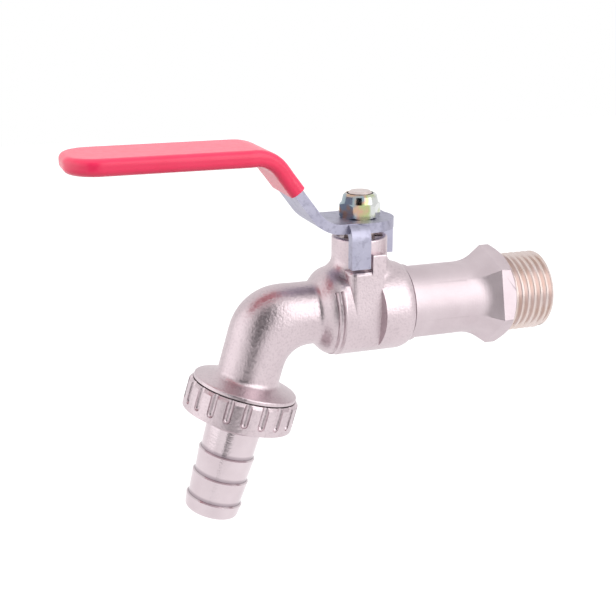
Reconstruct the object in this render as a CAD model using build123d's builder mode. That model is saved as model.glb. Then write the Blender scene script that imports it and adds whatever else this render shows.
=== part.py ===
from build123d import *
import math
import os

os.makedirs("parts", exist_ok=True)

# Garden ball valve with a hose union, in millimetres.
# The pipe axis is X with the inlet at +X, and the stem stands along +Z.
# The origin is on the pipe axis, at the shoulder where the inlet thread begins.

FULL_TURN = 360

# Where the main axes lie
shoulder_to_stem = 40.5
stem_to_outlet = 25.5
outlet_lean = 16.8

# Fits
running_fit = 0.05
thread_fit = 0.2
face_gap = 0.05
cover_fit = 0.1

# Thread form of the inlet and the union, cut as rings
thread_pitch = 1.814
thread_depth = 1.16
thread_crest = 0.4
thread_root = 0.3

# Inlet tail: half-inch pipe thread, hexagon, neck and spigot
pipe_thread_r = 20.955 / 2
pipe_thread_turns = 6
pipe_thread_length = 11.8
thread_lead_in = 0.9
tail_bore_r = 7.2
hex_across_flats = 23.0
hex_turn = 17
hex_corner_r = 13.2
hex_length = 4.4
hex_shoulder_r = 10.7
hex_chamfer_length = 1.9
flare_length = 5.6
flare_angle = 32
flare_fillet_r = 7.0
neck_r = 9.46
ring_r = 10.0
ring_length = 1.7
ring_relief_r = 9.2
ring_relief_length = 0.5
spigot_r = 8.6
bore_taper_length = 4.0

# Ball chamber, measured from the ball's centre
chamber_outer_r = 11.5
chamber_right = 11.5
chamber_end_r = 10.6
chamber_rounding_start = 8.4
chamber_slope_start = -12.9
chamber_slope_end = -9.6
chamber_shoulder_fillets = (2.0, 5.5)
chamber_inner_r = 7.0
panel_depth_y = 9.0
panel_curve_r = 35.0
panel_root_y = 7.2
panel_left = 6.43
panel_right = 2.19
panel_height = 9.5
panel_draft = 13
band_groove_width = 0.7
band_groove_turn = 45
band_groove_places = ((-8.0, 0.05), (-9.4, 0.4))
band_groove_gap = 100

# Spout elbow and outlet
spout_r = 8.0
elbow_outer_r = 13.5
elbow_inner_r = 7.0
elbow_start = 14.3
elbow_end = 11.2
elbow_sections = 8
elbow_lip = 0.03
port_r = 5.0
port_bend_r = 9.3
flange_root = 16.3
flange_top = 18.0
flange_bottom = 18.9
flange_r = 13.4
flange_fillet_r = 1.6
flange_rim_fillet = 0.5
outlet_thread_r = 22.911 / 2
outlet_thread_turns = 2.5
outlet_thread_grooves = 2

# Bonnet and lever stop
bonnet_r = 7.1
bonnet_top = 19.3
bonnet_fillet_r = 3.4
bonnet_edge = 0.6
stop_left = 0.0
stop_right = 3.5
stop_front = 9.3
stop_top = 16.0
stop_edge = 0.5
pad_left = -3.4
pad_right = 3.2
pad_top = 11.8
pad_edge = 1.0
pad_corner_r = 2.2

# Ball and seats
ball_r = 6.5
ball_bore_r = 4.0
seat_back = 6.6
seat_front = 3.4
seat_r = 6.9
slot_width = 3.1
slot_depth = 2.0

# Stem and its packing, heights above the pipe axis
blade_width = 6.0
shank_r = 3.4
thrust_seat = 9.5
thrust_thickness = 0.8
collar_r = 4.9
collar_height = 1.5
packing_r = 5.2
packing_height = 2.45
gland_r = 5.95
gland_height = 4.3
gland_slot = 1.4
gland_slot_depth = 1.2
journal_r = 3.9
drive_r = 3.5
drive_flats = 5.0
stem_thread_r = 3.0
stem_end = 30.6
stem_chamfer = 0.5

# Lever: stamped plate with two bends and two stop ears
plate_thickness = 2.5
plate_top = 24.0
lever_slope = 53.5
lever_rise = 18.85
lever_bend_x = -11.75
lever_bend_r = 8.5
lever_tip = -72.6
hub_r = 8.6
waist_half = 7.8
grip_half = 9.8
waist_end = -21.0
grip_start = -31.0
tip_corner_r = 7.0
outline_fillet = 6.0
hub_fillet = 2.0
front_ear_face = 10.4
back_ear_face = 11.0
ear_bend_r = 2.6
ear_bottom = 12.9
ear_width = 5.0
front_ear_left = -6.1
back_ear_near = 3.8

# Vinyl grip
skin = 0.8
grip_reach = 11.2
grip_edge_r = 1.6

# Lever nut: M6 lock nut with a nylon ring in its collar
nut_across_flats = 9.4
nut_turn = -8.7
nut_hex_height = 3.7
nut_height = 6.0
nut_corner_r = 5.3
nut_chamfer_r = 4.75
nut_chamfer = 0.45
nut_collar_r = 4.7
nut_collar_top_r = 4.3
nut_collar_edge = 0.5
insert_r = 3.8
insert_height = 1.0
insert_lip = 0.4
insert_lip_r = 3.4
nut_clearance = 0.03

# Union nut, hose washer and hose tail, measured along the outlet axis
union_wall = 2.65
union_rim_bevel = 0.7
union_rim_height = 0.8
union_top = 19.2
union_floor = 26.2
union_cone_start = 26.7
union_cone_end = 29.3
groove_count = 20
groove_turn = -6
groove_r = 1.0
groove_depth = 0.9
groove_end = 24.3
washer_thickness = 1.3
tail_flange_r = 10.8
tail_flange_thickness = 1.3
hose_bore_r = 5.2
shank_start_r = 7.25
barb_root_r = 6.88
barb_edge_r = 7.38
barb_places = (36.6, 43.0, 49.4)
barb_step = 0.4
tail_end = 53.1
tail_tip_r = 6.9
tail_tip_fillet = 1.2

# Places worked out from the sizes above
stem_x = -shoulder_to_stem
outlet_x = stem_x - stem_to_outlet
lean = math.radians(outlet_lean)
outlet_way = Vector(-math.sin(lean), 0, -math.cos(lean))
outlet_side = Vector(math.cos(lean), 0, -math.sin(lean))
outlet_thread_end = flange_bottom + thread_pitch * outlet_thread_turns
plate_middle = plate_top - plate_thickness / 2
plate_bottom = plate_top - plate_thickness
collar_bottom = thrust_seat + thrust_thickness
collar_top = collar_bottom + collar_height
packing_bottom = collar_top + face_gap
gland_bottom = packing_bottom + packing_height

# Working planes: side view from the ball's centre, plan view, and the outlet's own pair
side = Plane(origin=(stem_x, 0, 0), x_dir=(1, 0, 0), z_dir=(0, -1, 0))
plan = Plane(origin=(stem_x, 0, 0))
pipe_axis = Axis.X
stem_axis = Axis((stem_x, 0, 0), (0, 0, 1))
outlet_axis = Axis((outlet_x, 0, 0), outlet_way)
outlet_section = Plane(origin=(outlet_x, 0, 0), x_dir=outlet_side, z_dir=(0, 1, 0))
outlet_across = Plane(origin=(outlet_x, 0, 0), x_dir=outlet_side, z_dir=outlet_way)


def outlet_point(radius, along):
    """A point of the side view, given across and along the outlet axis."""
    place = outlet_side * radius + outlet_way * along
    return (place.X - stem_to_outlet, place.Z)


def thread_grooves(start, turns):
    """Half sections of a thread's grooves, as places along it and depths under its crests."""
    grooves = []
    for turn in range(turns):
        crest = start + turn * thread_pitch
        middle = crest + thread_pitch / 2
        grooves += [
            (crest + thread_crest / 2, 0),
            (middle - thread_root / 2, thread_depth),
            (middle + thread_root / 2, thread_depth),
            (crest + thread_pitch - thread_crest / 2, 0),
        ]
    return grooves


def ring(plane, inner_r, outer_r, height):
    """A plain ring standing on a plane."""
    with BuildPart() as plain_ring:
        with BuildSketch(plane):
            Circle(outer_r)
            Circle(inner_r, mode=Mode.SUBTRACT)
        extrude(amount=height)
    return plain_ring


# Inlet tail: a hexagon chamfered on the thread side and flared from the neck, the rest turned
hex_left = -hex_length
tail_seam = stem_x + chamber_right
spigot_end = stem_x + seat_back

with BuildPart() as inlet_tail:
    with BuildSketch(Plane.YZ.offset(hex_left)) as hex_sketch:
        RegularPolygon(hex_across_flats / 2, 6, major_radius=False, rotation=hex_turn)
    extrude(amount=hex_length)
    with BuildSketch(Plane.XZ):
        with BuildLine():
            Polyline(
                (hex_left, 0),
                (hex_left, hex_corner_r),
                (-hex_chamfer_length, hex_corner_r),
                (0, hex_shoulder_r),
                (0, 0),
                close=True,
            )
        make_face()
    revolve(axis=pipe_axis, mode=Mode.INTERSECT)
    extrude(hex_sketch.sketch, amount=-flare_length, taper=flare_angle)
    with BuildSketch(Plane.XZ):
        with BuildLine():
            Polyline(
                (spigot_end, 0),
                (spigot_end, spigot_r),
                (tail_seam, spigot_r),
                (tail_seam, ring_relief_r),
                (tail_seam + ring_relief_length, ring_relief_r),
                (tail_seam + ring_relief_length, ring_r),
                (tail_seam + ring_length, ring_r),
                (tail_seam + ring_length, neck_r),
                (hex_left, neck_r),
                (hex_left, pipe_thread_r),
                *[(along, pipe_thread_r - depth) for along, depth in thread_grooves(0, pipe_thread_turns)],
                (pipe_thread_length - thread_lead_in, pipe_thread_r),
                (pipe_thread_length, pipe_thread_r - thread_lead_in),
                (pipe_thread_length, 0),
                close=True,
            )
        make_face()
    revolve(axis=pipe_axis)
    neck = inlet_tail.faces().filter_by(GeomType.CYLINDER).sort_by(SortBy.AREA)[-1]
    fillet(neck.edges().filter_by(GeomType.BSPLINE), flare_fillet_r)
    with BuildSketch(Plane.XZ):
        with BuildLine():
            Polyline(
                (spigot_end, 0),
                (spigot_end, port_r),
                (tail_seam, port_r),
                (tail_seam + bore_taper_length, tail_bore_r),
                (pipe_thread_length, tail_bore_r),
                (pipe_thread_length, 0),
                close=True,
            )
        make_face()
    revolve(axis=pipe_axis, mode=Mode.SUBTRACT)
inlet_tail.part.label = "inlet_tail"
export_step(inlet_tail.part, "parts/inlet_tail.step")

# Valve body: chamber and bonnet first, so that the fillet between them runs all round
with BuildPart() as valve_body:
    with BuildSketch(side):
        with BuildLine():
            FilletPolyline(
                (-elbow_start, spout_r),
                (chamber_slope_start, spout_r),
                (chamber_slope_end, chamber_outer_r),
                (chamber_rounding_start, chamber_outer_r),
                radius=chamber_shoulder_fillets,
            )
            TangentArc(
                (chamber_rounding_start, chamber_outer_r),
                (chamber_right, chamber_end_r),
                tangent=(1, 0),
            )
            Polyline(
                (chamber_right, chamber_end_r),
                (chamber_right, 0),
                (-elbow_start, 0),
                (-elbow_start, spout_r),
            )
        make_face()
    revolve(axis=pipe_axis)
    with BuildSketch(plan):
        Circle(bonnet_r)
    extrude(amount=bonnet_top)
    bonnet_foot = valve_body.edges(Select.LAST).filter_by(GeomType.BSPLINE)
    fillet(bonnet_foot, bonnet_fillet_r)
    fillet(valve_body.edges().sort_by(Axis.Z)[-1], bonnet_edge)

    # Panels on both sides of the chamber, slightly crowned, with drafted ends
    with BuildPart(mode=Mode.PRIVATE) as panel_cutter:
        with BuildSketch(side.offset(panel_root_y)):
            with Locations(((panel_right - panel_left) / 2, 0)):
                Rectangle(panel_left + panel_right, 2 * panel_height)
        extrude(amount=chamber_outer_r, taper=-panel_draft)
        with Locations((stem_x, panel_curve_r - panel_depth_y, 0)):
            Cylinder(panel_curve_r, 2 * shoulder_to_stem, rotation=(0, 90, 0), mode=Mode.SUBTRACT)
    add(panel_cutter.part, mode=Mode.SUBTRACT)
    add(panel_cutter.part.mirror(Plane.XZ), mode=Mode.SUBTRACT)

    # Two fine grooves that set off the bands left of the panels, open under the bonnet
    with BuildSketch(side.rotated((band_groove_gap / 2, 0, 0))):
        for place, inset in band_groove_places:
            with Locations((place, chamber_outer_r - inset)):
                Rectangle(band_groove_width, band_groove_width, rotation=band_groove_turn)
    revolve(axis=pipe_axis, revolution_arc=FULL_TURN - band_groove_gap, mode=Mode.SUBTRACT)

    # Lever stop on a flat pad that carries the front panel up to the bonnet
    with BuildSketch(plan) as pad_sketch:
        with Locations(((pad_left + pad_right) / 2, -panel_depth_y / 2)):
            Rectangle(pad_right - pad_left, panel_depth_y)
        fillet(pad_sketch.vertices().sort_by_distance((pad_left, -panel_depth_y))[0], pad_corner_r)
    extrude(amount=pad_top)
    pad_crown = valve_body.faces(Select.LAST).filter_by(Axis.Z).sort_by(Axis.Z)[-1]
    fillet(pad_crown.edges().filter_by(GeomType.LINE), pad_edge)
    with BuildSketch(plan.offset(pad_top - pad_edge)):
        with Locations(((stop_left + stop_right) / 2, -stop_front / 2)):
            Rectangle(stop_right - stop_left, stop_front)
    extrude(amount=stop_top - pad_top + pad_edge)
    stop_crown = valve_body.faces(Select.LAST).filter_by(Axis.Z).sort_by(Axis.Z)[-1]
    fillet(stop_crown.edges().filter_by(GeomType.LINE), stop_edge)

    # Spout elbow: sections fan out between its outer and inner curves
    with BuildLine(side) as elbow_guides:
        elbow_outside = FilletPolyline(
            (-elbow_start, spout_r),
            (-stem_to_outlet - spout_r * math.tan((math.pi / 2 - lean) / 2), spout_r),
            outlet_point(-spout_r, elbow_end),
            radius=elbow_outer_r,
        )
        elbow_inside = FilletPolyline(
            (-elbow_start, -spout_r),
            (-stem_to_outlet + spout_r * math.tan((math.pi / 2 - lean) / 2), -spout_r),
            outlet_point(spout_r, elbow_end),
            radius=elbow_inner_r,
        )
    for step in range(elbow_sections + 1):
        top = elbow_outside @ (step / elbow_sections)
        bottom = elbow_inside @ (step / elbow_sections)
        across = top - bottom
        section = Plane(
            origin=(top + bottom) / 2,
            x_dir=across,
            z_dir=across.cross(Vector(0, 1, 0)),
        )
        with BuildSketch(section):
            Ellipse(across.length / 2 + elbow_lip, spout_r + elbow_lip)
    loft()

    # Outlet: tube, flange and threaded spigot
    outlet_grooves = thread_grooves(flange_bottom, outlet_thread_grooves)
    with BuildSketch(outlet_section) as outlet_sketch:
        with BuildLine():
            Polyline(
                (0, elbow_end),
                (spout_r, elbow_end),
                (spout_r, flange_root),
                (flange_r, flange_top),
                (flange_r, flange_bottom),
                (outlet_thread_r, flange_bottom),
                *[(outlet_thread_r - depth, along) for along, depth in outlet_grooves],
                (outlet_thread_r, outlet_thread_end),
                (0, outlet_thread_end),
                close=True,
            )
        make_face()
        fillet(outlet_sketch.vertices().sort_by_distance((spout_r, flange_root))[0], flange_fillet_r)
        fillet(outlet_sketch.vertices().sort_by_distance((flange_r, flange_top))[0], flange_rim_fillet)
    revolve(axis=outlet_axis)

    # Chamber, tail thread and waterway
    with BuildSketch(side):
        with BuildLine():
            Polyline(
                (-seat_back, 0),
                (-seat_back, chamber_inner_r),
                (seat_back, chamber_inner_r),
                (seat_back, spigot_r + thread_fit),
                (chamber_right, spigot_r + thread_fit),
                (chamber_right, 0),
                close=True,
            )
        make_face()
    revolve(axis=pipe_axis, mode=Mode.SUBTRACT)
    with BuildLine(side) as waterway:
        FilletPolyline(
            (-seat_back, 0),
            (-stem_to_outlet, 0),
            outlet_point(0, outlet_thread_end),
            radius=port_bend_r,
        )
    with BuildSketch(Plane.YZ.offset(stem_x - seat_back)):
        Circle(port_r)
    sweep(path=waterway.wires()[0], mode=Mode.SUBTRACT)

    # Stem hole, packing bore and gland thread in the bonnet
    with BuildSketch(plan):
        Circle(shank_r + running_fit)
    extrude(amount=bonnet_top, mode=Mode.SUBTRACT)
    with BuildSketch(plan.offset(thrust_seat)):
        Circle(packing_r)
    extrude(amount=bonnet_top, mode=Mode.SUBTRACT)
    with BuildSketch(plan.offset(gland_bottom)):
        Circle(gland_r)
    extrude(amount=bonnet_top, mode=Mode.SUBTRACT)
valve_body.part.label = "valve_body"
export_step(valve_body.part, "parts/valve_body.step")

# Ball with its bore and, across the top, the slot for the stem's blade
with BuildPart() as ball:
    with Locations((stem_x, 0, 0)):
        Sphere(ball_r)
        Cylinder(ball_bore_r, 2 * ball_r, rotation=(0, 90, 0), mode=Mode.SUBTRACT)
    with BuildSketch(plan.offset(ball_r - slot_depth)):
        Rectangle(slot_width, 2 * ball_r)
    extrude(amount=slot_depth, mode=Mode.SUBTRACT)
ball.part.label = "ball"
export_step(ball.part, "parts/ball.step")

# Outlet seat: a ring whose front face is hollowed to the ball
with BuildPart() as outlet_seat:
    with BuildSketch(Plane.YZ.offset(stem_x - seat_back)):
        Circle(seat_r)
        Circle(ball_bore_r, mode=Mode.SUBTRACT)
    extrude(amount=seat_back - seat_front)
    with Locations((stem_x, 0, 0)):
        Sphere(ball_r + running_fit, mode=Mode.SUBTRACT)
outlet_seat.part.label = "outlet_seat"
export_step(outlet_seat.part, "parts/outlet_seat.step")

# Inlet seat: the same ring on the other side of the ball
with BuildPart() as inlet_seat:
    mirror(outlet_seat.part, about=Plane.YZ.offset(stem_x))
inlet_seat.part.label = "inlet_seat"
export_step(inlet_seat.part, "parts/inlet_seat.step")

# Stem: blade, shank, collar, journal, two-flat drive and threaded end
with BuildPart() as stem:
    with BuildSketch(side):
        with BuildLine():
            Polyline(
                (0, ball_r + face_gap),
                (shank_r, ball_r + face_gap),
                (shank_r, collar_bottom),
                (collar_r, collar_bottom),
                (collar_r, collar_top),
                (journal_r, collar_top),
                (journal_r, plate_bottom),
                (drive_r, plate_bottom),
                (drive_r, plate_top - face_gap),
                (stem_thread_r, plate_top - face_gap),
                (stem_thread_r, stem_end - stem_chamfer),
                (stem_thread_r - stem_chamfer, stem_end),
                (0, stem_end),
                close=True,
            )
        make_face()
    revolve(axis=stem_axis)
    with BuildSketch(plan.offset(plate_bottom)):
        Circle(drive_r)
        Rectangle(drive_flats, 2 * drive_r, mode=Mode.SUBTRACT)
    extrude(amount=plate_thickness, mode=Mode.SUBTRACT)
    with BuildSketch(plan.offset(ball_r - slot_depth + face_gap)):
        Rectangle(slot_width - cover_fit, blade_width)
    extrude(amount=slot_depth)
stem.part.label = "stem"
export_step(stem.part, "parts/stem.step")

thrust_washer = ring(plan.offset(thrust_seat), shank_r + running_fit, packing_r - running_fit,
                     thrust_thickness - face_gap)
thrust_washer.part.label = "thrust_washer"
export_step(thrust_washer.part, "parts/thrust_washer.step")

packing_ring = ring(plan.offset(packing_bottom), journal_r + running_fit, packing_r - running_fit,
                    packing_height)
packing_ring.part.label = "packing_ring"
export_step(packing_ring.part, "parts/packing_ring.step")

# Gland nut: threaded ring with a spanner slot across its top
with BuildPart() as gland_nut:
    with BuildSketch(plan.offset(gland_bottom)):
        Circle(gland_r - running_fit)
        Circle(journal_r + running_fit, mode=Mode.SUBTRACT)
    extrude(amount=gland_height)
    with BuildSketch(plan.offset(gland_bottom + gland_height - gland_slot_depth)):
        Rectangle(2 * gland_r, gland_slot)
    extrude(amount=gland_slot_depth, mode=Mode.SUBTRACT)
gland_nut.part.label = "gland_nut"
export_step(gland_nut.part, "parts/gland_nut.step")

# Lever plate: side view swept across, trimmed to the plan outline, then the ears
slope_run = lever_rise / math.tan(math.radians(lever_slope))
grip_bend = (lever_bend_x - slope_run, plate_middle + lever_rise)
lever_top = plate_middle + lever_rise + plate_thickness


def lever_outline(margin):
    """Plan outline of the lever behind its hub, grown by a margin."""
    with BuildSketch() as outline:
        with BuildLine():
            Polyline(
                (0, waist_half + margin),
                (waist_end, waist_half + margin),
                (grip_start, grip_half + margin),
                (lever_tip - margin, grip_half + margin),
                (lever_tip - margin, -grip_half - margin),
                (grip_start, -grip_half - margin),
                (waist_end, -waist_half - margin),
                (0, -waist_half - margin),
                close=True,
            )
        make_face()
        tip_corners = outline.vertices().group_by(Axis.X)[0]
        fillet(tip_corners, tip_corner_r + margin)
        soft_corners = outline.vertices().filter_by_position(Axis.X, grip_start, waist_end)
        fillet(soft_corners, outline_fillet)
    return outline


with BuildPart() as lever_plate:
    with BuildSketch(side):
        with BuildLine():
            FilletPolyline(
                (hub_r, plate_middle),
                (lever_bend_x, plate_middle),
                grip_bend,
                (lever_tip, grip_bend[1]),
                radius=lever_bend_r,
            )
        trace(line_width=plate_thickness)
    extrude(amount=front_ear_face, both=True)
    with BuildSketch(plan) as plate_sketch:
        add(lever_outline(0).sketch)
        Circle(hub_r)
        hub_corners = plate_sketch.vertices().filter_by_position(Axis.X, -hub_r, 0)
        fillet(hub_corners, hub_fillet)
    extrude(amount=lever_top, mode=Mode.INTERSECT)
    front_ear_middle = front_ear_face - plate_thickness / 2
    back_ear_middle = back_ear_face - plate_thickness / 2
    with BuildSketch(Plane.YZ.offset(stem_x + front_ear_left)):
        with BuildLine():
            FilletPolyline(
                (-drive_r, plate_middle),
                (-front_ear_middle, plate_middle),
                (-front_ear_middle, ear_bottom),
                radius=ear_bend_r,
            )
        trace(line_width=plate_thickness)
    extrude(amount=ear_width)
    with BuildSketch(side.offset(-back_ear_near)):
        with BuildLine():
            FilletPolyline(
                (drive_r, plate_middle),
                (back_ear_middle, plate_middle),
                (back_ear_middle, ear_bottom),
                radius=ear_bend_r,
            )
        trace(line_width=plate_thickness)
    extrude(amount=-ear_width)
    with BuildSketch(plan.offset(plate_bottom)):
        Circle(drive_r + running_fit)
        Rectangle(drive_flats + 2 * running_fit, 2 * hub_r, mode=Mode.INTERSECT)
    extrude(amount=plate_thickness, mode=Mode.SUBTRACT)
lever_plate.part.label = "lever_plate"
export_step(lever_plate.part, "parts/lever_plate.step")

# Vinyl grip: the lever's own form grown by the skin, with the plate cut out of it
grip_end_x = grip_bend[0] + grip_reach * math.cos(math.radians(lever_slope))
grip_end_height = grip_bend[1] - grip_reach * math.sin(math.radians(lever_slope))
with BuildPart() as lever_grip:
    with BuildSketch(side):
        with BuildLine():
            FilletPolyline(
                (grip_end_x, grip_end_height),
                grip_bend,
                (lever_tip - skin, grip_bend[1]),
                radius=lever_bend_r,
            )
        trace(line_width=plate_thickness + 2 * skin)
    extrude(amount=grip_half + skin, both=True)
    with BuildSketch(plan):
        add(lever_outline(skin).sketch)
    extrude(amount=lever_top + skin, mode=Mode.INTERSECT)
    open_end = lever_grip.faces().sort_by(Axis.X)[-1]
    crosswise = lever_grip.edges().filter_by(Axis.Y)
    upright = lever_grip.edges().filter_by(Axis.Z)
    rim = lever_grip.edges() - crosswise - upright - open_end.edges()
    fillet(rim + crosswise.group_by(Axis.X)[0], grip_edge_r)
    add(lever_plate.part, mode=Mode.SUBTRACT)
lever_grip.part.label = "lever_grip"
export_step(lever_grip.part, "parts/lever_grip.step")

# Lever nut: chamfered hexagon with a collar that holds the nylon ring
insert_bottom = plate_top + nut_height - insert_lip - insert_height
with BuildPart() as lever_nut:
    with BuildSketch(plan.offset(plate_top)):
        RegularPolygon(nut_across_flats / 2, 6, major_radius=False, rotation=nut_turn)
    extrude(amount=nut_hex_height)
    with BuildSketch(side):
        with BuildLine():
            Polyline(
                (0, plate_top),
                (nut_chamfer_r, plate_top),
                (nut_corner_r, plate_top + nut_chamfer),
                (nut_corner_r, plate_top + nut_hex_height - nut_chamfer),
                (nut_chamfer_r, plate_top + nut_hex_height),
                (0, plate_top + nut_hex_height),
                close=True,
            )
        make_face()
    revolve(axis=stem_axis, mode=Mode.INTERSECT)
    with BuildSketch(side):
        with BuildLine():
            Polyline(
                (0, plate_top + nut_hex_height),
                (nut_collar_r, plate_top + nut_hex_height),
                (nut_collar_top_r, plate_top + nut_height - nut_collar_edge),
                (nut_collar_top_r - nut_collar_edge, plate_top + nut_height),
                (0, plate_top + nut_height),
                close=True,
            )
        make_face()
    revolve(axis=stem_axis)
    with BuildSketch(plan.offset(plate_top)):
        Circle(stem_thread_r + nut_clearance)
    extrude(amount=nut_height, mode=Mode.SUBTRACT)
    with BuildSketch(plan.offset(insert_bottom)):
        Circle(insert_r)
    extrude(amount=insert_height, mode=Mode.SUBTRACT)
    with BuildSketch(plan.offset(insert_bottom)):
        Circle(insert_lip_r)
    extrude(amount=nut_height, mode=Mode.SUBTRACT)
lever_nut.part.label = "lever_nut"
export_step(lever_nut.part, "parts/lever_nut.step")

nut_insert = ring(plan.offset(insert_bottom), stem_thread_r + nut_clearance, insert_r, insert_height)
nut_insert.part.label = "nut_insert"
export_step(nut_insert.part, "parts/nut_insert.step")

# Union nut: turned cup with a conical floor and grip grooves from its rim
union_bore_r = outlet_thread_r + thread_fit
union_r = union_bore_r + union_wall
union_hole_r = shank_start_r + thread_fit
with BuildPart() as union_nut:
    with BuildSketch(outlet_section):
        with BuildLine():
            Polyline(
                (union_bore_r, union_top),
                (union_r - union_rim_bevel, union_top),
                (union_r, union_top + union_rim_height),
                (union_r, union_cone_start),
                (union_hole_r, union_cone_end),
                (union_hole_r, union_floor),
                (union_bore_r, union_floor),
                close=True,
            )
        make_face()
    revolve(axis=outlet_axis)
    groove_ring_r = union_r + groove_r - groove_depth
    with BuildSketch(outlet_across.offset(union_top)):
        with PolarLocations(groove_ring_r, groove_count, groove_turn):
            Circle(groove_r)
    extrude(amount=groove_end - union_top, mode=Mode.SUBTRACT)
    with Locations(outlet_across.offset(groove_end)):
        with PolarLocations(groove_ring_r, groove_count, groove_turn):
            Sphere(groove_r, mode=Mode.SUBTRACT)
union_nut.part.label = "union_nut"
export_step(union_nut.part, "parts/union_nut.step")

# Hose washer and hose tail
washer_start = outlet_thread_end + face_gap
tail_start = washer_start + washer_thickness
hose_washer = ring(outlet_across.offset(washer_start), hose_bore_r, tail_flange_r, washer_thickness)
hose_washer.part.label = "hose_washer"
export_step(hose_washer.part, "parts/hose_washer.step")

barb_outline = []
for place in barb_places:
    barb_outline += [(barb_root_r, place - barb_step), (barb_edge_r, place)]
with BuildPart() as hose_tail:
    with BuildSketch(outlet_section) as tail_sketch:
        with BuildLine():
            Polyline(
                (hose_bore_r, tail_start),
                (tail_flange_r, tail_start),
                (tail_flange_r, tail_start + tail_flange_thickness),
                (shank_start_r, tail_start + tail_flange_thickness),
                *barb_outline,
                (tail_tip_r, tail_end),
                (hose_bore_r, tail_end),
                close=True,
            )
        make_face()
        fillet(tail_sketch.vertices().sort_by_distance((tail_tip_r, tail_end))[0], tail_tip_fillet)
    revolve(axis=outlet_axis)
hose_tail.part.label = "hose_tail"
export_step(hose_tail.part, "parts/hose_tail.step")
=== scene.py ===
"""Garden ball valve with a hose union: finishes, the wound pipe thread, the front pad, light and camera.

Sizes are in metres, in the frame of the solids: X along the pipe, out of the inlet, and Z up along the stem.
"""
import bmesh
import bpy
import math
from mathutils import Matrix, Vector


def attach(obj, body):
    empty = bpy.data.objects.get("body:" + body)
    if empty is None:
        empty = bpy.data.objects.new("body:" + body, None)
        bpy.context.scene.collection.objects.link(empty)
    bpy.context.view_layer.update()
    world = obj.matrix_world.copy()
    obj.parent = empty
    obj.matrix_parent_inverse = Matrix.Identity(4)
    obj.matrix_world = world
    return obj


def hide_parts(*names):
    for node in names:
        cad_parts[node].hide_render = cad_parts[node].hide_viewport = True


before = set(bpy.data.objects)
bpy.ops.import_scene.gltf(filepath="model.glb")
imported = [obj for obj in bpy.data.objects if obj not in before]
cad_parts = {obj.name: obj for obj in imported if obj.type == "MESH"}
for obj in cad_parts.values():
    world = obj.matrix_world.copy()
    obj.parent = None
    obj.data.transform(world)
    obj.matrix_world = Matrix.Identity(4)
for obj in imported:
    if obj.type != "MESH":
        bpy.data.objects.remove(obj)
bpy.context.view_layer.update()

# Camera, as the photograph was taken
CAMERA_PLACE = (-0.14478, -0.25197, 0.08334)
CAMERA_AZIMUTH = -19.740
CAMERA_ELEVATION = 17.064
CAMERA_LENS = 64.286
SENSOR_WIDTH = 36.0

# Inlet thread: half-inch pipe thread
THREAD_R = 0.0104775
THREAD_DEPTH = 0.00116
THREAD_PITCH = 0.001814
THREAD_LENGTH = 0.0118
THREAD_START = 1.6
LEAD_IN = 0.0009
TAIL_BORE_R = 0.0072
BORE_EDGE = 0.0004
CORE_OVERLAP = 0.00005
CORE_START = -0.0002
CORE_CHAMFER = 0.0003
TAIL_CUT = 0.00002
STEPS_A_TURN = 96

# Reach within which points are merged: of a copied node, and of the wound thread
COPY_MERGE = 0.000001
THREAD_MERGE = 0.00001

# Stem's place along the pipe, and the way the hose tail points
STEM_X = -0.0405
OUTLET_LEAN = math.radians(16.8)
OUTLET_WAY = (-math.sin(OUTLET_LEAN), 0, -math.cos(OUTLET_LEAN))

# Width of the marks that turning leaves
TOOL_RING = 1 / 2600

# Barbs of the hose tail, as depths along that way, where shade is painted at the root of each
BARB_START = 0.066 * math.sin(OUTLET_LEAN) + 0.0366
BARB_SPACING = 0.0064

# Pad over the body's front panel
PAD_LEFT = STEM_X - 0.0059
PAD_RIGHT = STEM_X + 0.0031
PAD_FRONT = 0.00903
PAD_TOP = 0.01183
PAD_CORNER = 0.0022
PAD_EDGE = 0.001

# Stage
FLOOR_HEIGHT = -0.40
FLOOR_REACH = 3.0
MIDDLE = (-0.05, 0, 0)


class Value:
    """A shader socket; arithmetic on it adds the Math nodes."""

    def __init__(self, shader, socket):
        self.shader = shader
        self.socket = socket

    def math(self, operation, first, second):
        return self.shader.node("Math", {"operation": operation}, {0: first, 1: second})

    def __add__(self, other):
        return self.math("ADD", self, other)

    def __radd__(self, other):
        return self.math("ADD", other, self)

    def __sub__(self, other):
        return self.math("SUBTRACT", self, other)

    def __mul__(self, other):
        return self.math("MULTIPLY", self, other)

    def __rmul__(self, other):
        return self.math("MULTIPLY", other, self)


class Shader:
    """A node tree that grows node by node."""

    def __init__(self, tree):
        self.tree = tree
        tree.nodes.clear()

    def node(self, kind, settings=(), sockets=(), out=0):
        made = self.tree.nodes.new("ShaderNode" + kind)
        for name, value in dict(settings).items():
            if name == "stops":
                ramp = made.color_ramp.elements
                while len(ramp) < len(value):
                    ramp.new(1.0)
                for stop, (place, colour) in zip(ramp, value):
                    stop.position = place
                    stop.color = (*colour, 1.0)
            else:
                setattr(made, name, value)
        for name, value in dict(sockets).items():
            if isinstance(value, Value):
                self.tree.links.new(value.socket, made.inputs[name])
            else:
                made.inputs[name].default_value = value
        return Value(self, made.outputs[out]) if made.outputs else None

    def noise(self, place, size, detail=3.0, roughness=0.5):
        """Cloudy noise whose lumps are about the given size."""
        return self.node("TexNoise", {}, {"Vector": place, "Scale": 1 / size, "Detail": detail,
                                          "Roughness": roughness})

    def ramp(self, value, *stops):
        return self.node("ValToRGB", {"stops": stops}, {"Fac": value})

    def mix(self, factor, first, second, blend="MIX"):
        return self.node("Mix", {"data_type": "RGBA", "blend_type": blend},
                         {"Factor": factor, 6: first, 7: second}, out=2)

    def bump(self, height, depth, strength=1.0, under=None):
        sockets = {"Height": height, "Distance": depth, "Strength": strength}
        if under is not None:
            sockets["Normal"] = under
        return self.node("Bump", {}, sockets)


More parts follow.
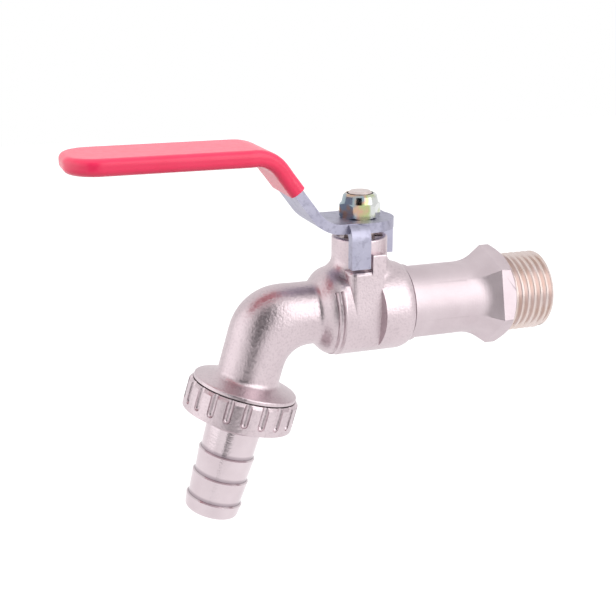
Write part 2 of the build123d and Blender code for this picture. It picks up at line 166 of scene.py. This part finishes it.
def colour(red, green, blue):
    return (red, green, blue, 1.0)


def material(name):
    """A new material's shader, and the object coordinates its patterns lie on."""
    made = bpy.data.materials.new(name)
    made.use_nodes = True
    shader = Shader(made.node_tree)
    return made, shader, shader.node("TexCoord", out=3)


def finish_surface(shader, sockets):
    surface = shader.node("BsdfPrincipled", {}, sockets)
    shader.node("OutputMaterial", {}, {"Surface": surface})


def cast_nickel():
    """Satin nickel plate over a blasted casting: fine grain and faint clouds."""
    made, shader, place = material("cast_nickel")
    clouds = shader.noise(place, 0.009)
    grain = shader.noise(place, 0.0006, detail=2.0)
    dents = shader.noise(place, 0.0028)
    tone = shader.ramp(clouds, (0.3, (0.60, 0.505, 0.535)), (0.7, (0.67, 0.57, 0.60)))
    speck = shader.ramp(grain, (0.32, (0.80, 0.79, 0.80)), (0.52, (1.0, 1.0, 1.0)))
    finish_surface(shader, {
        "Base Color": shader.mix(0.6, tone, speck, "MULTIPLY"),
        "Metallic": 1.0,
        "Roughness": 0.27 + 0.14 * grain + 0.06 * clouds,
        "Normal": shader.bump(grain, 0.0001, 0.8, shader.bump(dents, 0.00018, 0.3)),
    })
    return made


def turned_nickel(name, roughness, along, barbs=False):
    """Satin nickel plate over turned brass, with tool rings across the axis and, on the barbs, painted shade
    in a dark band at the root of each.
    """
    made, shader, place = material(name)
    clouds = shader.noise(place, 0.007)
    grain = shader.noise(place, 0.0005, detail=2.0)
    depth = shader.node("VectorMath", {"operation": "DOT_PRODUCT"}, {0: place, 1: along}, out="Value")
    rings = shader.node("TexNoise", {"noise_dimensions": "1D"},
                        {"W": depth, "Scale": 1 / TOOL_RING, "Detail": 2.0})
    tone = shader.ramp(clouds, (0.3, (0.60, 0.51, 0.54)), (0.7, (0.67, 0.58, 0.61)))
    if barbs:
        along_barb = depth.math("FRACT", (depth - BARB_START) * (1 / BARB_SPACING), 0.0)
        past_shank = depth.math("GREATER_THAN", depth, BARB_START - BARB_SPACING / 2)
        # painted shade: a dark band just before each barb, standing in for the shade on its shoulder
        painted_root_shade = shader.ramp(along_barb, (0.78, (1.0, 1.0, 1.0)), (0.87, (0.64, 0.62, 0.64)),
                            (0.95, (0.54, 0.52, 0.54)), (0.97, (1.0, 1.0, 1.0)))
        tone = shader.mix(past_shank, tone, shader.mix(1.0, tone, painted_root_shade, "MULTIPLY"))
    finish_surface(shader, {
        "Base Color": tone,
        "Metallic": 1.0,
        "Roughness": roughness + 0.1 * grain + 0.06 * clouds,
        "Normal": shader.bump(rings, 0.00003, 0.35, shader.bump(grain, 0.00006, 0.4)),
    })
    return made


def thread_nickel():
    """Thinner plate on the cut thread, where the brass shows through."""
    made, shader, place = material("thread_nickel")
    clouds = shader.noise(place, 0.004)
    tone = shader.ramp(clouds, (0.3, (0.66, 0.54, 0.49)), (0.7, (0.72, 0.62, 0.60)))
    finish_surface(shader, {
        "Base Color": tone,
        "Metallic": 1.0,
        "Roughness": 0.24 + 0.1 * clouds,
    })
    return made


def zinc_plate():
    """Blue-white zinc on the stamped lever, mottled and lightly scuffed."""
    made, shader, place = material("zinc_plate")
    clouds = shader.noise(place, 0.006)
    grain = shader.noise(place, 0.0007)
    scuffs = shader.noise(place, 0.0016, detail=4.0, roughness=0.65)
    tone = shader.ramp(clouds, (0.3, (0.37, 0.36, 0.46)), (0.7, (0.44, 0.43, 0.53)))
    worn = shader.ramp(scuffs, (0.36, (0.70, 0.70, 0.72)), (0.48, (1.0, 1.0, 1.0)), (0.64, (1.0, 1.0, 1.0)),
                       (0.74, (1.25, 1.25, 1.22)))
    finish_surface(shader, {
        "Base Color": shader.mix(0.7, tone, worn, "MULTIPLY"),
        "Metallic": 1.0,
        "Roughness": 0.36 + 0.14 * grain,
        "Normal": shader.bump(grain, 0.00007, 0.4),
    })
    return made


def passivated_zinc():
    """Bright zinc on the lever nut: slate, tan, yellow-green and silver colours of its passivation, laid
    from left to right so the left side is painted darker and the right side lighter.
    """
    made, shader, place = material("passivated_zinc")
    blots = shader.noise(place, 0.003, detail=1.5)
    across = shader.node("SeparateXYZ", {}, {0: place})
    # passivation colours running along X, which also paint shade on the slate left side and a highlight on
    # the silver right side
    tints_and_painted_side_shade = (across - STEM_X) * 70 + blots
    tone = shader.ramp(tints_and_painted_side_shade, (0.2, (0.34, 0.42, 0.46)), (0.38, (0.58, 0.38, 0.27)),
                       (0.54, (0.44, 0.50, 0.24)), (0.72, (0.64, 0.65, 0.64)))
    finish_surface(shader, {
        "Base Color": tone,
        "Metallic": 1.0,
        "Roughness": 0.1 + 0.14 * blots,
    })
    return made


def red_vinyl():
    """Dipped vinyl: glossy red with the slight waviness of a dip coat."""
    made, shader, place = material("red_vinyl")
    clouds = shader.noise(place, 0.012)
    peel = shader.noise(place, 0.0018)
    tone = shader.ramp(clouds, (0.3, (0.95, 0.022, 0.100)), (0.7, (1.0, 0.032, 0.122)))
    finish_surface(shader, {
        "Base Color": tone,
        "Roughness": 0.28 + 0.1 * peel,
        "Coat Weight": 0.15,
        "Coat Roughness": 0.12,
        "Normal": shader.bump(peel, 0.00006, 0.4),
    })
    return made


def bare_brass():
    """Turned brass of the stem and the gland nut, dulled to a pinkish tone."""
    made, shader, place = material("bare_brass")
    clouds = shader.noise(place, 0.002)
    tone = shader.ramp(clouds, (0.3, (0.64, 0.54, 0.52)), (0.7, (0.72, 0.63, 0.62)))
    finish_surface(shader, {
        "Base Color": tone,
        "Metallic": 1.0,
        "Roughness": 0.28 + 0.12 * clouds,
    })
    return made


def chrome_ball():
    """Polished chrome with faint polishing haze."""
    made, shader, place = material("chrome_ball")
    haze = shader.noise(place, 0.003)
    finish_surface(shader, {
        "Base Color": colour(0.82, 0.82, 0.84),
        "Metallic": 1.0,
        "Roughness": 0.05 + 0.06 * haze,
    })
    return made


def seal_plastic(name, dark, light):
    """Moulded seal plastic or rubber, slightly mottled."""
    made, shader, place = material(name)
    clouds = shader.noise(place, 0.002)
    finish_surface(shader, {
        "Base Color": shader.ramp(clouds, (0.3, dark), (0.7, light)),
        "Roughness": 0.5 + 0.15 * clouds,
    })
    return made


def new_piece(name, bm, finish, body):
    """Turns a finished bmesh into an object that rides on a body."""
    mesh = bpy.data.meshes.new(name)
    bm.to_mesh(mesh)
    bm.free()
    piece = bpy.data.objects.new(name, mesh)
    bpy.context.scene.collection.objects.link(piece)
    mesh.materials.append(finish)
    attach(piece, body)
    return piece


def spun_ring(bm, outline, steps):
    """Spins a closed outline of (along X, radius) points about the pipe axis."""
    corners = [bm.verts.new((along, 0, radius)) for along, radius in outline]
    sides = [bm.edges.new((corners[i - 1], corners[i])) for i in range(len(corners))]
    bmesh.ops.spin(bm, geom=corners + sides, cent=(0, 0, 0), axis=(1, 0, 0), angle=2 * math.pi,
                   steps=steps, use_merge=True)


def thread_helix():
    """The pipe thread: one rounded tooth wound along X, trimmed at both ends and chamfered at the mouth."""
    bm = bmesh.new()
    root_r = THREAD_R - THREAD_DEPTH
    tooth = ((0.0, 0.0), (0.10, 0.04), (0.18, 0.22), (0.32, 0.78), (0.40, 0.95), (0.5, 1.0),
             (0.60, 0.95), (0.68, 0.78), (0.82, 0.22), (0.90, 0.04), (1.0, 0.0))
    turns = math.ceil(THREAD_LENGTH / THREAD_PITCH) + 2
    points = [bm.verts.new(((at - THREAD_START) * THREAD_PITCH, 0, root_r + rise * THREAD_DEPTH))
              for at, rise in tooth]
    flank = [bm.edges.new(pair) for pair in zip(points, points[1:])]
    bmesh.ops.spin(bm, geom=points + flank, cent=(0, 0, 0), axis=(1, 0, 0),
                   dvec=(THREAD_PITCH / STEPS_A_TURN, 0, 0), angle=2 * math.pi * turns,
                   steps=STEPS_A_TURN * turns)
    bmesh.ops.remove_doubles(bm, verts=bm.verts, dist=THREAD_MERGE)
    for place, way in ((0, -1), (THREAD_LENGTH, 1)):
        bmesh.ops.bisect_plane(bm, geom=bm.verts[:] + bm.edges[:] + bm.faces[:], plane_co=(place, 0, 0),
                               plane_no=(way, 0, 0), clear_outer=True)
    chamfer_start = THREAD_LENGTH - LEAD_IN
    for vert in bm.verts:
        radius = math.hypot(vert.co.y, vert.co.z)
        limit = THREAD_R - max(0, vert.co.x - chamfer_start)
        if radius > limit:
            vert.co.yz = vert.co.yz * limit / radius
    bmesh.ops.recalc_face_normals(bm, faces=bm.faces)
    return bm


def threaded_tail(finish, thread_finish):
    """The inlet tail with its thread cut: the turned part as it is, then the core and the helix."""
    bm = bmesh.new()
    bm.from_mesh(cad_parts["inlet_tail"].data)
    bmesh.ops.remove_doubles(bm, verts=bm.verts, dist=COPY_MERGE)
    bmesh.ops.bisect_plane(bm, geom=bm.verts[:] + bm.edges[:] + bm.faces[:], plane_co=(TAIL_CUT, 0, 0),
                           plane_no=(1, 0, 0), clear_outer=True)
    piece = new_piece("inlet_tail_turned", bm, finish, "base")
    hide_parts("inlet_tail")

    core_r = THREAD_R - THREAD_DEPTH + CORE_OVERLAP
    bm = bmesh.new()
    spun_ring(bm, (
        (CORE_START, TAIL_BORE_R),
        (CORE_START, core_r),
        (THREAD_LENGTH - CORE_CHAMFER, core_r),
        (THREAD_LENGTH, core_r - CORE_CHAMFER),
        (THREAD_LENGTH, TAIL_BORE_R + BORE_EDGE),
        (THREAD_LENGTH - BORE_EDGE, TAIL_BORE_R),
    ), STEPS_A_TURN)
    bmesh.ops.recalc_face_normals(bm, faces=bm.faces)
    new_piece("inlet_core", bm, thread_finish, "base")
    helix = new_piece("inlet_thread", thread_helix(), thread_finish, "base")
    helix.data.shade_smooth()


def wide_pad(finish):
    """The body's front pad at its full width, with a soft left corner and a soft top edge."""
    bm = bmesh.new()
    size = Vector((PAD_RIGHT - PAD_LEFT, PAD_FRONT, PAD_TOP))
    middle = Vector(((PAD_LEFT + PAD_RIGHT) / 2, -PAD_FRONT / 2, PAD_TOP / 2))
    bmesh.ops.create_cube(bm, size=1.0, matrix=Matrix.Translation(middle) @ Matrix.Diagonal((*size, 1)))
    front = [edge for edge in bm.edges if all(vert.co.y < -PAD_FRONT / 2 for vert in edge.verts)]
    corner = [edge for edge in front if all(vert.co.x < middle.x for vert in edge.verts)]
    bmesh.ops.bevel(bm, geom=corner, offset=PAD_CORNER, offset_type="OFFSET", segments=8, profile=0.5,
                    affect="EDGES", material=-1)
    crown = [edge for edge in bm.edges
             if all(vert.co.z > PAD_TOP - COPY_MERGE and vert.co.y < -PAD_FRONT / 2 for vert in edge.verts)]
    bmesh.ops.bevel(bm, geom=crown, offset=PAD_EDGE, offset_type="OFFSET", segments=4, profile=0.5,
                    affect="EDGES", material=-1)
    new_piece("wide_pad", bm, finish, "base")


def dress_nodes(finishes):
    """Gives each node of the solids its finish."""
    for node, finish in finishes.items():
        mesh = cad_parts[node].data
        mesh.materials.clear()
        mesh.materials.append(finish)


def white_stage():
    """A pale floor that the camera and the metal see as white, and that keeps the soft shadow."""
    bm = bmesh.new()
    bmesh.ops.create_grid(bm, x_segments=1, y_segments=1, size=FLOOR_REACH,
                          matrix=Matrix.Translation((0, 0, FLOOR_HEIGHT)))
    mesh = bpy.data.meshes.new("floor")
    bm.to_mesh(mesh)
    bm.free()
    floor = bpy.data.objects.new("floor", mesh)
    bpy.context.scene.collection.objects.link(floor)
    made, shader, _ = material("pale_floor")
    paint = shader.node("BsdfDiffuse", {}, {"Color": colour(0.35, 0.35, 0.35)})
    glow = shader.node("Emission", {}, {"Color": colour(1, 1, 1), "Strength": 0.8 * background_seen(shader)})
    shown = shader.node("AddShader", {}, {0: paint, 1: glow})
    shader.node("OutputMaterial", {}, {"Surface": shown})
    mesh.materials.append(made)


def background_seen(shader):
    """One where the camera, or a reflection or a clear piece, looks at the background."""
    rays = [shader.node("LightPath", out=name)
            for name in ("Is Camera Ray", "Is Glossy Ray", "Is Transmission Ray")]
    return rays[0] + rays[1] + rays[2]


def studio_world():
    """Soft grey surround for the light, white where it is seen."""
    world = bpy.data.worlds.new("studio")
    world.use_nodes = True
    bpy.context.scene.world = world
    shader = Shader(world.node_tree)
    soft = shader.node("Background", {}, {"Color": colour(0.98, 0.97, 0.98), "Strength": 1.1})
    white = shader.node("Background", {}, {"Color": colour(1, 1, 1), "Strength": 1.0})
    shown = shader.node("MixShader", {}, {0: background_seen(shader), 1: soft, 2: white})
    shader.node("OutputWorld", {}, {"Surface": shown})


def from_middle(azimuth, elevation, distance):
    """A place round the object, by compass from its front and height in degrees."""
    turn, rise = math.radians(azimuth), math.radians(elevation)
    way = Vector((math.sin(turn) * math.cos(rise), -math.cos(turn) * math.cos(rise), math.sin(rise)))
    return Vector(MIDDLE) + distance * way


def dark_card(azimuth, elevation, distance, size):
    """A dark card behind the camera, which gives the bright metal its dark bands."""
    stand = from_middle(azimuth, elevation, distance)
    facing = (Vector(MIDDLE) - stand).to_track_quat("-Z", "Y").to_matrix().to_4x4()
    bm = bmesh.new()
    bmesh.ops.create_grid(bm, x_segments=1, y_segments=1, size=0.5,
                          matrix=Matrix.Translation(stand) @ facing @ Matrix.Diagonal((*size, 1, 1)))
    mesh = bpy.data.meshes.new("dark_card")
    bm.to_mesh(mesh)
    bm.free()
    card = bpy.data.objects.new("dark_card", mesh)
    bpy.context.scene.collection.objects.link(card)
    card.visible_camera = False
    made, shader, place = material("dark_paper")
    height = shader.node("SeparateXYZ", {}, {0: place}, out=2)
    tone = shader.ramp(height * 2 + 0.5, (0.2, (0.5, 0.5, 0.5)), (0.42, (0.03, 0.03, 0.035)))
    finish_surface(shader, {"Base Color": tone, "Roughness": 1.0, "Specular IOR Level": 0.0})
    mesh.materials.append(made)


def softbox(name, azimuth, elevation, distance, size, power):
    """A rectangular area lamp that looks at the object."""
    lamp = bpy.data.lights.new(name, "AREA")
    lamp.shape = "RECTANGLE"
    lamp.size, lamp.size_y = size
    lamp.energy = power
    stand = bpy.data.objects.new(name, lamp)
    stand.location = from_middle(azimuth, elevation, distance)
    stand.rotation_euler = (Vector(MIDDLE) - stand.location).to_track_quat("-Z", "Y").to_euler()
    bpy.context.scene.collection.objects.link(stand)


def photo_camera():
    """The camera at the photograph's place and angle."""
    data = bpy.data.cameras.new("photo_camera")
    data.sensor_width = SENSOR_WIDTH
    data.lens = CAMERA_LENS
    data.clip_start = 0.01
    camera = bpy.data.objects.new("photo_camera", data)
    camera.location = CAMERA_PLACE
    camera.rotation_euler = (math.radians(90 - CAMERA_ELEVATION), 0, math.radians(CAMERA_AZIMUTH))
    bpy.context.scene.collection.objects.link(camera)
    bpy.context.scene.camera = camera


cast = cast_nickel()
wide_pad(cast)
threaded_tail(turned_nickel("turned_nickel", 0.42, (1, 0, 0)), thread_nickel())
white_seal = seal_plastic("white_seal", (0.80, 0.80, 0.78), (0.90, 0.90, 0.88))
brass = bare_brass()
dress_nodes({
    "valve_body": cast,
    "union_nut": cast,
    "hose_tail": turned_nickel("tail_nickel", 0.08, OUTLET_WAY, barbs=True),
    "lever_plate": zinc_plate(),
    "lever_grip": red_vinyl(),
    "lever_nut": passivated_zinc(),
    "stem": brass,
    "gland_nut": brass,
    "ball": chrome_ball(),
    "outlet_seat": white_seal,
    "inlet_seat": white_seal,
    "thrust_washer": white_seal,
    "packing_ring": white_seal,
    "nut_insert": seal_plastic("nylon_ring", (0.10, 0.11, 0.14), (0.16, 0.17, 0.21)),
    "hose_washer": seal_plastic("black_rubber", (0.012, 0.012, 0.012), (0.03, 0.03, 0.03)),
})

white_stage()
studio_world()
softbox("right_front", 33, 28, 0.6, (0.55, 0.7), 1.75)
softbox("left", -100, 15, 0.6, (0.6, 0.5), 0.55)
dark_card(-27, 20, 0.55, (0.36, 0.9))
photo_camera()
scene = bpy.context.scene
scene.view_settings.view_transform = "Standard"
